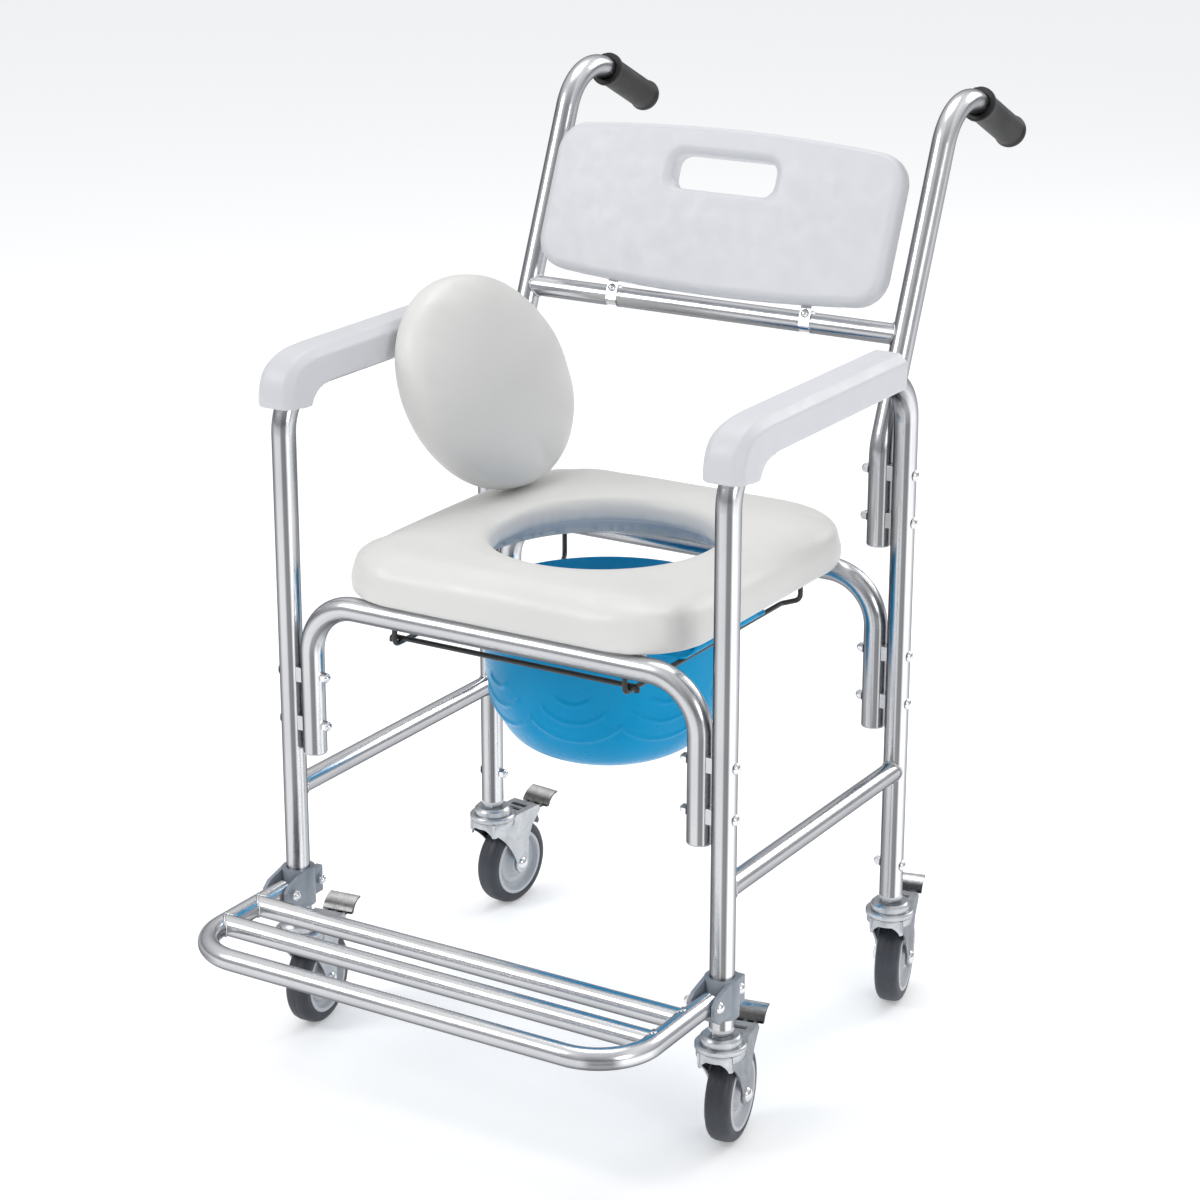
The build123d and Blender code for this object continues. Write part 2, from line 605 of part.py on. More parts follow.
def footrest_pivot(side):
    """Bolt and nut through the cheeks of one clamp."""
    outer = SMALL_R + CHEEK_GAP + CHEEK
    x = side * LEG_X
    head = (x + side * outer, FOOT_PIVOT_Y, FOOT_Z)
    tail = (x - side * outer, FOOT_PIVOT_Y, FOOT_Z)
    bolt = bolt_along(head, (-side, 0, 0), 2 * outer + SHORT_BITE)
    return [bolt, acorn_nut(tail, (-side, 0, 0), SHORT_BITE)]


def clamp_screw(side):
    """Bolt and nut that close the clamp's split."""
    x = side * LEG_X
    head = (x + side * LUG_HALF, CLAMP_SCREW_Y, CLAMP_SCREW_Z)
    tail = (x - side * LUG_HALF, CLAMP_SCREW_Y, CLAMP_SCREW_Z)
    bolt = bolt_along(head, (-side, 0, 0), 2 * LUG_HALF + SHORT_BITE)
    return [bolt, acorn_nut(tail, (-side, 0, 0), SHORT_BITE)]


# ---- casters, drawn with the swivel axis on Z and the wheel trailing towards +Y ------------------
FORK_INNER = 15.6
FORK_PLATE = 2.4
FORK_TOP_Z = 114.0
FORK_REAR_Y = 62.0       # rear edge of the fork's top plate
FORK_SLOTS = ((34.0, 41.0), (45.0, 52.0))     # windows across the top plate
SLOT_HALF = 10.5
APRON_FRONT_Y = -20.0
APRON_Z = 97.0
SKIRT_Z = 107.0          # lower edge of the ring round the head
ARCH_Z = 93.0            # centre of the arch over the tyre in the front apron
HEAD_R = 25.0
HEAD_TOP_Z = 130.0
LOWER_RING = 7.0         # height of the swivel's lower ring
LOWER_RING_R = 26.5
UPPER_RING_R = 21.0
RING_GAP = 0.4           # between the swivel's rings and the post's collar
COLLAR = (9.5, 4.0)      # inradius and height of the post's hexagon collar
LOCK_NUT = (7.0, 5.0)
HUB_R = 38.0
AXLE_R = 4.0
AXLE_HEAD = (7.5, 4.5)
AXLE_NUT = (6.5, 5.0)
BORE_PLAY = 0.05
BRAKE_PIVOT = (58.0, 107.0)
LEVER_HALF = 13.0
LEVER_WINDOW = (2.0, 9.0)     # near and far sides of each window in the lever's arm
SHOE_GAP = 2.5           # from the brake shoe to the tyre with the pedal up
SHOE_ANGLES = (32.0, 46.0)
SHOE_HALF = 11.0
TREAD_HALF = 18.0


def hexagon(inradius, height, low):
    """Upright hexagonal prism."""
    return Pos(0, 0, low) * extrude(RegularPolygon(inradius, 6, major_radius=False), height)


def caster_stem():
    """Fixed post: bolt up into the leg's bush, with a hexagon collar above the swivel head."""
    nut_foot_z = FORK_TOP_Z - FORK_PLATE - RING_GAP - LOCK_NUT[1]
    post = rod((0, 0, nut_foot_z), (0, 0, BUSH_TOP_Z - BUSH_ROOF), STEM_R)
    return post + hexagon(*COLLAR, HEAD_TOP_Z) + hexagon(*LOCK_NUT, nut_foot_z)


def leg_bush():
    """Plastic bush in the foot of a leg, with a rim below it."""
    bush = rod((0, 0, LEG_FOOT_Z - BUSH_RIM), (0, 0, LEG_FOOT_Z), TUBE_R)
    bush += rod((0, 0, LEG_FOOT_Z), (0, 0, BUSH_TOP_Z), TUBE_BORE_R)
    return bush - rod((0, 0, LEG_FOOT_Z - 2 * BUSH_RIM), (0, 0, BUSH_TOP_Z - BUSH_ROOF), STEM_R)


def caster_fork():
    """Pressed fork: swivel head, top plate and two tapering side plates."""
    top = extrude(Pos(0, 0, FORK_TOP_Z - FORK_PLATE) * Circle(HEAD_R), FORK_PLATE)
    half = FORK_INNER + FORK_PLATE
    body = top + box((-half, half), (0, FORK_REAR_Y), (FORK_TOP_Z - FORK_PLATE, FORK_TOP_Z))
    for window in FORK_SLOTS:
        body -= box((-SLOT_HALF, SLOT_HALF), window, (FORK_TOP_Z - 2 * FORK_PLATE, FORK_TOP_Z + FORK_PLATE))
    # Side plate: straight rear edge, round eye about the axle, swept front edge up to the apron.
    eye_rear, eye_front = (TRAIL + 11, WHEEL_RADIUS), (TRAIL - 10, WHEEL_RADIUS + 4)
    shoulder = (APRON_FRONT_Y, 102)
    with BuildSketch(Plane.YZ) as profile:
        with BuildLine():
            Polyline((0, FORK_TOP_Z), (FORK_REAR_Y, FORK_TOP_Z), (FORK_REAR_Y + 4, FORK_TOP_Z - 6), (50, 92),
                     (TRAIL + 12, 78), eye_rear)
            ThreePointArc(eye_rear, (TRAIL, WHEEL_RADIUS - 11), eye_front)
            Spline(eye_front, (6, 80), shoulder)
            Polyline(shoulder, (APRON_FRONT_Y, FORK_TOP_Z), (0, FORK_TOP_Z))
        make_face()
    for side in SIDES.values():
        low = min(side * FORK_INNER, side * half)
        body += Pos(low, 0, 0) * extrude(profile.sketch, FORK_PLATE, dir=(1, 0, 0))
    # Curved front apron between the side plates, arched over the tyre, and a skirt round the head.
    ring = cylinder_up(HEAD_R, FORK_TOP_Z - APRON_Z) - cylinder_up(HEAD_R - FORK_PLATE, FORK_TOP_Z)
    apron = Pos(0, 0, APRON_Z) * ring & box((-half, half), (-HEAD_R, -6), (APRON_Z, FORK_TOP_Z))
    body += apron - rod((0, -2 * HEAD_R, ARCH_Z), (0, 0, ARCH_Z), FORK_INNER)
    body += Pos(0, 0, APRON_Z) * ring & box((-HEAD_R, HEAD_R), (-HEAD_R, HEAD_R), (SKIRT_Z, FORK_TOP_Z))
    # Raceway: a wide lower ring and a smaller rolled ring above it.
    lower = Pos(0, 0, FORK_TOP_Z) * cylinder_up(LOWER_RING_R, LOWER_RING)
    upper = Pos(0, 0, FORK_TOP_Z + LOWER_RING) * cylinder_up(
        UPPER_RING_R, HEAD_TOP_Z - FORK_TOP_Z - LOWER_RING - RING_GAP)
    body += chamfer(lower.edges(), 1.6) + chamfer(upper.edges().group_by(Axis.Z)[-1], 3)
    body -= Pos(0, 0, FORK_TOP_Z) * Cylinder(STEM_R + BORE_PLAY, 2 * HEAD_R)
    return body - rod_x((0, TRAIL, WHEEL_RADIUS), 4 * half, AXLE_R)


def caster_axle():
    """Axle bolt with its head and nut."""
    half = FORK_INNER + FORK_PLATE
    shank = rod_x((0, TRAIL, WHEEL_RADIUS), 2 * half, AXLE_R)
    head = Plane(origin=(half, TRAIL, WHEEL_RADIUS), z_dir=(1, 0, 0)) * dome(*AXLE_HEAD)
    nut = Plane(origin=(-half, TRAIL, WHEEL_RADIUS), z_dir=(-1, 0, 0)) * hexagon(*AXLE_NUT, 0)
    return shank + head + nut


def wheel_ring(outline):
    """Revolve an outline of (distance along the axle, radius) points about the axle."""
    face = Plane.XZ * make_face(Polyline(*outline, close=True))
    return Pos(0, TRAIL, WHEEL_RADIUS) * revolve(face, Axis.X)


def caster_tyre():
    """Solid rubber tyre with bevelled shoulders."""
    half = TYRE_WIDTH / 2
    return wheel_ring([(-half, HUB_R), (-half, WHEEL_RADIUS - 6), (-half + 5, WHEEL_RADIUS),
                       (half - 5, WHEEL_RADIUS), (half, WHEEL_RADIUS - 6), (half, HUB_R)])


def caster_hub():
    """Moulded hub with a rim ring, a recessed web and a raised boss, bored for the axle."""
    half = TYRE_WIDTH / 2
    bore = AXLE_R + BORE_PLAY
    return wheel_ring([(-half - 1, bore), (-half - 1, 10), (-half + 5, 15), (-half + 5, 27), (-half + 1, 30),
                       (-half - 0.5, 33), (-half - 0.5, HUB_R - 1), (-half, HUB_R), (half, HUB_R),
                       (half + 0.5, HUB_R - 1), (half + 0.5, 33), (half - 1, 30), (half - 5, 27),
                       (half - 5, 15), (half + 1, 10), (half + 1, bore)])


def caster_brake():
    """Foot lever hung between the fork's plates, with a shoe over the tyre and a turned-up tread."""
    y, z = BRAKE_PIVOT
    body = box((-LEVER_HALF, LEVER_HALF), (y - 6, y + 8), (z - 3, z + 3))
    body += box((-LEVER_HALF, LEVER_HALF), (y + 6, y + 22), (z - 1, z + 1.5))
    for side in SIDES.values():
        window = sorted(side * edge for edge in LEVER_WINDOW)
        body -= box(window, (y + 10, y + 18), (z - 2, z + 3))
    shoe_r = WHEEL_RADIUS + SHOE_GAP
    near, far = [(TRAIL + shoe_r * sin(radians(angle)), WHEEL_RADIUS + shoe_r * cos(radians(angle)))
                 for angle in SHOE_ANGLES]
    with BuildSketch(Plane.YZ) as shoe:
        with BuildLine():
            Polyline((y - 1, z - 2), near, far, (far[0] + 2, far[1] + 4), (y + 8, z - 2), (y - 1, z - 2))
        make_face()
    with BuildSketch(Plane.YZ) as tread:
        with BuildLine():
            Line((y + 20, z - 1), (y + 24, z - 1))
            Spline((y + 24, z - 1), (y + 29, z + 7), (y + 40, z + 11), tangents=[(0.4, 1), (1, -0.1)])
            Line((y + 40, z + 11), (y + 40, z + 13))
            Spline((y + 40, z + 13), (y + 27.5, z + 9), (y + 20, z + 1.5), tangents=[(-1, 0.1), (-0.7, -1)])
            Line((y + 20, z + 1.5), (y + 20, z - 1))
        make_face()
    body += Pos(-SHOE_HALF, 0, 0) * extrude(shoe.sketch, 2 * SHOE_HALF, dir=(1, 0, 0))
    body += Pos(-TREAD_HALF, 0, 0) * extrude(tread.sketch, 2 * TREAD_HALF, dir=(1, 0, 0))
    return body + rod_x((0, y, z), 2 * (FORK_INNER - CLEARANCE), BOLT_R)


# ---- write every node --------------------------------------------------------------------------
middle_y = (FOOT_FRONT_Y - SMALL_R + handle_grip(1).bounding_box().max.Y) / 2
for name, side in SIDES.items():
    save(f"side_frame_{name}", frames[name])
    save(f"side_rail_{name}", side_rail(side))
    save(f"back_tube_{name}", back_tubes[name])
    save(f"armrest_pad_{name}", armrest_pad(side))
    save(f"handle_grip_{name}", handle_grip(side))
    save(f"footrest_clamp_{name}", footrest_clamp(side))

save("front_seat_tube", seat_tube(0.0))
save("rear_seat_tube", seat_tube(LEG_DEPTH))
crossbar = rod_x((0, crossbar_y, CROSSBAR_Z), 2 * INNER_X, SMALL_R)
crossbar -= rod_x((0, crossbar_y, CROSSBAR_Z), 2 * INNER_X, SMALL_R - WALL)
for side in SIDES.values():
    x = side * INNER_X
    crossbar -= rod((x, back_tube_y(BACK_KNEE_Z + 40), BACK_KNEE_Z + 40), (x, *HANDLE_PEAK), TUBE_R)
save("back_crossbar", crossbar)

outer_face = LEG_X + TUBE_R
inner_face = INNER_X - TUBE_R
bolt_grip = outer_face - inner_face + NUT_BITE
save("frame_bolts", *[bolt_along((s * outer_face, y, z), (-s, 0, 0), bolt_grip) for s, y, z in pair_bolts])
save("frame_acorn_nuts", *[acorn_nut((s * inner_face, y, z), (-s, 0, 0), NUT_BITE) for s, y, z in pair_bolts])
save("frame_saddles", *[saddle(s * PAIR_X, y, z) for s, y, z in pair_bolts])

save("backrest_panel", backrest_panel())
save("backrest_straps", *[panel_strap(x) for x in (-CLIP_X, CLIP_X)])
save("backrest_clips", *[crossbar_clip(x) for x in (-CLIP_X, CLIP_X)])
clip_screws = [clip_screw(x) for x in (-CLIP_X, CLIP_X)]
save("backrest_screws", *[panel_screw(*place) for place in panel_screws], *clip_screws)

plug_places = [(s * INNER_X, y, SEAT_TUBE_FOOT_Z) for s in SIDES.values() for y in (0.0, LEG_DEPTH)]
plug_places += [(s * INNER_X, LEG_DEPTH, BACK_TUBE_FOOT_Z) for s in SIDES.values()]
save("tube_plugs", *[tube_plug(*place) for place in plug_places])

save("pan_rack", *pan_rack())
save("pan", pan())
save("seat_cushion", seat_cushion())
save("seat_board", seat_board())
save("seat_clips", *[seat_clip(x, y) for x in (-SEAT_CLIP_X, SEAT_CLIP_X) for y in (0.0, LEG_DEPTH)])
save("lid_cushion", lid_cushion())
save("lid_board", lid_board())

save("footrest_frame", footrest_frame())
save("footrest_bars", *[footrest_bar(y) for y in FOOT_BAR_Y])
save("footrest_pivots", *[item for side in SIDES.values() for item in footrest_pivot(side)])
save("clamp_screws", *[item for side in SIDES.values() for item in clamp_screw(side)])

bushes = []
stem_bolts = []
for corner, (x, y, yaw) in CASTERS.items():
    place = Pos(x, y, 0) * Rot(0, 0, yaw)
    stem = Pos(x, y, 0) * caster_stem()
    bush = Pos(x, y, 0) * leg_bush()
    if y > 0:
        cut = rod_x((x, y, STEM_BOLT_Z), 2 * TUBE, BOLT_R)
        stem -= cut
        bush -= cut
        side = 1 if x > 0 else -1
        stem_bolts.append(bolt_along((side * outer_face, y, STEM_BOLT_Z), (-side, 0, 0), TUBE + SHORT_BITE))
        stem_bolts.append(acorn_nut((x - side * TUBE_R, y, STEM_BOLT_Z), (-side, 0, 0), SHORT_BITE))
    bushes.append(bush)
    save(f"caster_stem_{corner}", stem)
    save(f"caster_fork_{corner}", place * caster_fork())
    save(f"caster_axle_{corner}", place * caster_axle())
    save(f"caster_tyre_{corner}", place * caster_tyre())
    save(f"caster_hub_{corner}", place * caster_hub())
    save(f"caster_brake_{corner}", place * caster_brake())
save("leg_bushes", *bushes)
save("stem_bolts", *stem_bolts)
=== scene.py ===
"""Looks of the wheeled commode chair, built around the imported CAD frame. Lengths are in metres."""
import json
from math import cos, exp, hypot, radians, sin, sqrt, tau

import bmesh
import bpy
from mathutils import Matrix, Vector


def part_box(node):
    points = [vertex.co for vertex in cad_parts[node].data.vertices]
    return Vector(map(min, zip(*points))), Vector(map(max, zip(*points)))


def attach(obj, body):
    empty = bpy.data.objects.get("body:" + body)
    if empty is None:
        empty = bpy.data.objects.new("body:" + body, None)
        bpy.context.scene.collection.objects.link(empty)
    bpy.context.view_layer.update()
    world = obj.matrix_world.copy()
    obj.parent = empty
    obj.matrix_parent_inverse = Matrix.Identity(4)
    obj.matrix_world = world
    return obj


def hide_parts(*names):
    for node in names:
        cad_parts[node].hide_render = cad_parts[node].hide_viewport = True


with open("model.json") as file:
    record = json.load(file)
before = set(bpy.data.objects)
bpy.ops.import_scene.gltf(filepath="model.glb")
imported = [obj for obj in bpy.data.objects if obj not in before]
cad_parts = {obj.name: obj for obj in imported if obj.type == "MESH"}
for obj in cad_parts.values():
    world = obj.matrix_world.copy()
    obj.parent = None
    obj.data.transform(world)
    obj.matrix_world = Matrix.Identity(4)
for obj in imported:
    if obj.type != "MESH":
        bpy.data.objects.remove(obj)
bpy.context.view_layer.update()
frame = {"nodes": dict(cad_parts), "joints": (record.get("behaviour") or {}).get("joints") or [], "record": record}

nodes = frame["nodes"]
scene = bpy.context.scene
CORNERS = ("front_left", "front_right", "rear_left", "rear_right")
SIDES = {"left": 1, "right": -1}
MM = 0.001


# ---- camera, light and floor -------------------------------------------------------------------
CHAIR_MIDDLE = 0.236375      # from the front legs back to the middle of the chair's bounding box
CAMERA_AZIMUTH = radians(31.48)
CAMERA_ELEVATION = radians(18.57)
CAMERA_DISTANCE = 3.198
CAMERA_TARGET = Vector((-0.011, 0.2092 - CHAIR_MIDDLE, 0.470))
CAMERA_LENS = 92.0
FLOOR_SIZE = 60
FLOOR_COLOUR = (0.83, 0.835, 0.845)
FLOOR_GLOW = 0.26            # light given off by the floor, as from a lit backdrop
HORIZON = (0.34, 0.35, 0.37, 1)
ZENITH = (1.0, 1.0, 1.0, 1)
WORLD_STRENGTH = 0.85
LIGHTS_AIM = Vector((0, 0, 0.5))
# Name, place, size and power of each area light.
LIGHTS = (("key", (-2.4, -3.0, 3.2), 1.4, 60), ("fill", (3.4, -1.6, 1.6), 1.2, 26),
          ("rim", (1.5, 3.4, 2.6), 1.6, 40), ("top", (-0.4, 0.6, 3.6), 1.8, 30))


def set_camera():
    """Camera at its three-quarter view."""
    level = cos(CAMERA_ELEVATION)
    back = Vector((sin(CAMERA_AZIMUTH) * level, -cos(CAMERA_AZIMUTH) * level, sin(CAMERA_ELEVATION)))
    data = bpy.data.cameras.new("camera")
    data.lens = CAMERA_LENS
    camera = bpy.data.objects.new("camera", data)
    camera.location = CAMERA_TARGET + back * CAMERA_DISTANCE
    camera.rotation_euler = (-back).to_track_quat("-Z", "Y").to_euler()
    scene.collection.objects.link(camera)
    scene.camera = camera


def set_stage():
    """Pale floor, world that brightens upwards, and soft studio lights."""
    bpy.ops.mesh.primitive_plane_add(size=FLOOR_SIZE)
    floor = bpy.context.object
    floor.name = "floor"
    paper, _, shader = new_material("floor_paper", FLOOR_COLOUR, 0.7)
    shader.inputs["Emission Color"].default_value = (1.0, 1.0, 1.0, 1)
    shader.inputs["Emission Strength"].default_value = FLOOR_GLOW
    floor.data.materials.append(paper)

    world = bpy.data.worlds.new("studio")
    world.use_nodes = True
    tree = world.node_tree
    coords = tree.nodes.new("ShaderNodeTexCoord")
    split = tree.nodes.new("ShaderNodeSeparateXYZ")
    ramp = tree.nodes.new("ShaderNodeValToRGB")
    tree.links.new(coords.outputs["Generated"], split.inputs[0])
    tree.links.new(split.outputs["Z"], ramp.inputs[0])
    tree.links.new(ramp.outputs[0], tree.nodes["Background"].inputs["Color"])
    ramp.color_ramp.elements[0].position = 0.0
    ramp.color_ramp.elements[0].color = HORIZON
    ramp.color_ramp.elements[1].position = 0.8
    ramp.color_ramp.elements[1].color = ZENITH
    tree.nodes["Background"].inputs["Strength"].default_value = WORLD_STRENGTH
    scene.world = world

    for name, place, size, power in LIGHTS:
        lamp = bpy.data.lights.new(name, "AREA")
        lamp.size = size
        lamp.energy = power
        light = bpy.data.objects.new(name, lamp)
        light.location = place
        light.rotation_euler = (LIGHTS_AIM - Vector(place)).to_track_quat("-Z", "Y").to_euler()
        scene.collection.objects.link(light)
    scene.view_settings.view_transform = "Standard"


# ---- materials ---------------------------------------------------------------------------------
def new_material(name, colour, roughness, metallic=0.0):
    """Principled material; returns (material, tree, shader)."""
    material = bpy.data.materials.new(name)
    material.use_nodes = True
    shader = material.node_tree.nodes["Principled BSDF"]
    shader.inputs["Base Color"].default_value = (*colour, 1)
    shader.inputs["Roughness"].default_value = roughness
    shader.inputs["Metallic"].default_value = metallic
    return material, material.node_tree, shader


def noise(tree, scale, detail=4.0, stretch=(1, 1, 1), distortion=0.0):
    """Noise in object space, stretched along the axes; returns its value output."""
    coords = tree.nodes.new("ShaderNodeTexCoord")
    mapping = tree.nodes.new("ShaderNodeMapping")
    mapping.inputs["Scale"].default_value = stretch
    tree.links.new(coords.outputs["Object"], mapping.inputs["Vector"])
    texture = tree.nodes.new("ShaderNodeTexNoise")
    texture.inputs["Scale"].default_value = scale
    texture.inputs["Detail"].default_value = detail
    texture.inputs["Distortion"].default_value = distortion
    tree.links.new(mapping.outputs[0], texture.inputs["Vector"])
    return texture.outputs["Fac"]


def remap(tree, value, low, high, start=0.3, end=0.7):
    """Map a noise value between start and end to low..high."""
    node = tree.nodes.new("ShaderNodeMapRange")
    node.inputs["From Min"].default_value = start
    node.inputs["From Max"].default_value = end
    node.inputs["To Min"].default_value = low
    node.inputs["To Max"].default_value = high
    tree.links.new(value, node.inputs["Value"])
    return node.outputs["Result"]


def tint(tree, shader, value, dark, light, start=0.3, end=0.7):
    """Vary the base colour between two colours by a noise value."""
    ramp = tree.nodes.new("ShaderNodeValToRGB")
    ramp.color_ramp.elements[0].position = start
    ramp.color_ramp.elements[0].color = (*dark, 1)
    ramp.color_ramp.elements[1].position = end
    ramp.color_ramp.elements[1].color = (*light, 1)
    tree.links.new(value, ramp.inputs[0])
    tree.links.new(ramp.outputs[0], shader.inputs["Base Color"])


def bump(tree, shader, height, strength, distance, below=None):
    """Add a bump from a height value, on top of an earlier bump."""
    node = tree.nodes.new("ShaderNodeBump")
    node.inputs["Strength"].default_value = strength
    node.inputs["Distance"].default_value = distance
    tree.links.new(height, node.inputs["Height"])
    if below is not None:
        tree.links.new(below, node.inputs["Normal"])
    tree.links.new(node.outputs[0], shader.inputs["Normal"])
    return node.outputs[0]


def cells(tree, scale):
    """Voronoi distance in object space, for pebbled grain."""
    coords = tree.nodes.new("ShaderNodeTexCoord")
    texture = tree.nodes.new("ShaderNodeTexVoronoi")
    texture.inputs["Scale"].default_value = scale
    tree.links.new(coords.outputs["Object"], texture.inputs["Vector"])
    return texture.outputs["Distance"]


def ramp_of(tree, value, stops):
    """Grey ramp through (position, brightness) stops."""
    ramp = tree.nodes.new("ShaderNodeValToRGB")
    ramp.color_ramp.interpolation = "EASE"
    while len(ramp.color_ramp.elements) < len(stops):
        ramp.color_ramp.elements.new(0.5)
    for element, (position, grey) in zip(ramp.color_ramp.elements, stops):
        element.position = position
        element.color = (grey, grey, grey, 1)
    tree.links.new(value, ramp.inputs[0])
    return ramp.outputs[0]


def mixed(tree, factor, first, second, mode="MIX"):
    """Colour mix; each input is a socket or a colour, and the factor a socket or a number."""
    node = tree.nodes.new("ShaderNodeMix")
    node.data_type = "RGBA"
    node.blend_type = mode
    for socket, value in ((node.inputs[0], factor), (node.inputs[6], first), (node.inputs[7], second)):
        if isinstance(value, bpy.types.NodeSocket):
            tree.links.new(value, socket)
        else:
            socket.default_value = value
    return node.outputs[2]


# Painted reflection bands round a tube, from one side to the other, and painted shade from its underside to its
# top.
PAINTED_REFLECTION_STOPS = ((0.0, 0.16), (0.08, 0.30), (0.20, 0.62), (0.37, 0.62), (0.46, 0.22), (0.58, 0.20), (0.68, 0.92),
              (0.82, 0.90), (0.92, 0.52), (1.0, 0.36))
PAINTED_UNDERSIDE_SHADE_STOPS = ((0.0, 0.30), (0.20, 0.42), (0.38, 0.85), (0.5, 1.0))
PAINTED_REFLECTION_ACROSS = (0.853, 0.522, 0.0)     # direction in which the painted reflection bands are counted
# even painted grey that takes the place of the painted reflection bands on faces that look up or down
PAINTED_LEVEL_GREY = (0.85, 0.85, 0.85, 1)


def painted_reflection_bands(tree, shader, dark, light):
    """Painted reflection and shade bands round a tube, lengthwise, in the metal's colour, with cloudy variation
    between two colours.
    """
    coords = tree.nodes.new("ShaderNodeTexCoord")
    across = tree.nodes.new("ShaderNodeVectorMath")
    across.operation = "DOT_PRODUCT"
    across.inputs[1].default_value = PAINTED_REFLECTION_ACROSS
    tree.links.new(coords.outputs["Normal"], across.inputs[0])
    split = tree.nodes.new("ShaderNodeSeparateXYZ")
    tree.links.new(coords.outputs["Normal"], split.inputs[0])
    height = split.outputs["Z"]
    # painted reflection bands by which way the surface faces across, and painted shade on its underside
    side = ramp_of(tree, remap(tree, across.outputs["Value"], 0.0, 1.0, -1.0, 1.0), PAINTED_REFLECTION_STOPS)
    painted_underside_shade = ramp_of(tree, remap(tree, height, 0.0, 1.0, -1.0, 1.0), PAINTED_UNDERSIDE_SHADE_STOPS)
    upright = tree.nodes.new("ShaderNodeMath")
    upright.operation = "ABSOLUTE"
    tree.links.new(height, upright.inputs[0])
    painted_light = mixed(tree, upright.outputs[0], side, PAINTED_LEVEL_GREY)
    painted_light = mixed(tree, 1.0, painted_light, painted_underside_shade, "MULTIPLY")
    cloud = ramp_of(tree, noise(tree, 7.0, 2.0), ((0.3, 0.0), (0.7, 1.0)))
    colour = mixed(tree, cloud, (*dark, 1), (*light, 1))
    tree.links.new(mixed(tree, 1.0, painted_light, colour, "MULTIPLY"), shader.inputs["Base Color"])


def aluminium():
    """Polished tube: painted reflection and shade bands along it, faint clouds and light handling marks."""
    material, tree, shader = new_material("aluminium_tube", (0.75, 0.76, 0.78), 0.24, 1.0)
    shader.inputs["Specular Tint"].default_value = (0.45, 0.46, 0.48, 1)
    painted_reflection_bands(tree, shader, (0.86, 0.87, 0.90), (0.96, 0.965, 0.98))
    tree.links.new(remap(tree, noise(tree, 60.0, 3.0), 0.20, 0.27), shader.inputs["Roughness"])
    bump(tree, shader, noise(tree, 260.0, 2.0, stretch=(1, 1, 0.2)), 0.02, 0.0003)
    return material


def zinc():
    """Zinc-plated pressing: satin plate with faint blotches and soft press marks."""
    material, tree, shader = new_material("zinc_steel", (0.56, 0.58, 0.60), 0.3, 1.0)
    shader.inputs["Specular Tint"].default_value = (0.35, 0.36, 0.38, 1)
    blotch = noise(tree, 70.0, 4.0, distortion=0.4)
    tint(tree, shader, blotch, (0.47, 0.49, 0.515), (0.62, 0.635, 0.65))
    tree.links.new(remap(tree, noise(tree, 180.0, 3.0), 0.26, 0.38), shader.inputs["Roughness"])
    bump(tree, shader, noise(tree, 120.0, 3.0), 0.05, 0.0004)
    return material


# Painted shade and highlight on the brake levers, from faces that look down to faces that look up.
LEVER_PAINTED_LIGHT_STOPS = ((0.0, 0.06), (0.45, 0.20), (0.60, 0.05), (0.86, 0.12), (0.95, 0.80))


def brake_steel_painted_light():
    """Zinc-plated lever with painted light: a painted highlight where it lies flat, painted shade where the tread
    curves up and underneath.
    """
    material, tree, shader = new_material("brake_steel_painted_light", (0.56, 0.58, 0.60), 0.26, 1.0)
    shader.inputs["Specular Tint"].default_value = (0.35, 0.36, 0.38, 1)
    coords = tree.nodes.new("ShaderNodeTexCoord")
    split = tree.nodes.new("ShaderNodeSeparateXYZ")
    tree.links.new(coords.outputs["Normal"], split.inputs[0])
    height = remap(tree, split.outputs["Z"], 0.0, 1.0, -1.0, 1.0)
    # painted highlight on faces that look up, painted shade on faces that look down
    painted_light = ramp_of(tree, height, LEVER_PAINTED_LIGHT_STOPS)
    blotch = ramp_of(tree, noise(tree, 90.0, 4.0), ((0.3, 0.72), (0.7, 0.88)))
    tree.links.new(mixed(tree, 1.0, painted_light, blotch, "MULTIPLY"), shader.inputs["Base Color"])
    tree.links.new(remap(tree, noise(tree, 180.0, 3.0), 0.20, 0.32), shader.inputs["Roughness"])
    bump(tree, shader, noise(tree, 120.0, 3.0), 0.05, 0.0004)
    return material


def chrome():
    """Bright plated fasteners with fine turning marks."""
    material, tree, shader = new_material("steel_fastener", (0.78, 0.78, 0.79), 0.14, 1.0)
    tree.links.new(remap(tree, noise(tree, 700.0, 2.0), 0.09, 0.24), shader.inputs["Roughness"])
    bump(tree, shader, noise(tree, 300.0, 3.0), 0.06, 0.0002)
    return material


def plastic(name, colour, roughness, grain, depth, shade=0.94):
    """Moulded plastic: spark-eroded grain, slight colour drift."""
    material, tree, shader = new_material(name, colour, roughness)
    tint(tree, shader, noise(tree, 6.0, 3.0), [c * shade for c in colour], colour)
    tree.links.new(remap(tree, noise(tree, 60.0, 3.0), roughness - 0.05, roughness + 0.07),
                   shader.inputs["Roughness"])
    first = bump(tree, shader, cells(tree, grain), depth, 0.0003)
    bump(tree, shader, noise(tree, 14.0, 2.0), 0.02, 0.002, below=first)
    return material


def vinyl():
    """Soft padded vinyl: pebbled grain, satin surface and slow waves in the skin."""
    material, tree, shader = new_material("seat_vinyl", (0.62, 0.61, 0.59), 0.42)
    tint(tree, shader, noise(tree, 4.0, 3.0), (0.635, 0.63, 0.615), (0.69, 0.685, 0.67))
    tree.links.new(remap(tree, noise(tree, 45.0, 4.0), 0.36, 0.5), shader.inputs["Roughness"])
    shader.inputs["Sheen Weight"].default_value = 0.12
    shader.inputs["Sheen Roughness"].default_value = 0.4
    first = bump(tree, shader, cells(tree, 900.0), 0.16, 0.0003)
    second = bump(tree, shader, noise(tree, 420.0, 3.0), 0.12, 0.0003, below=first)
    bump(tree, shader, noise(tree, 11.0, 2.0), 0.05, 0.004, below=second)
    return material


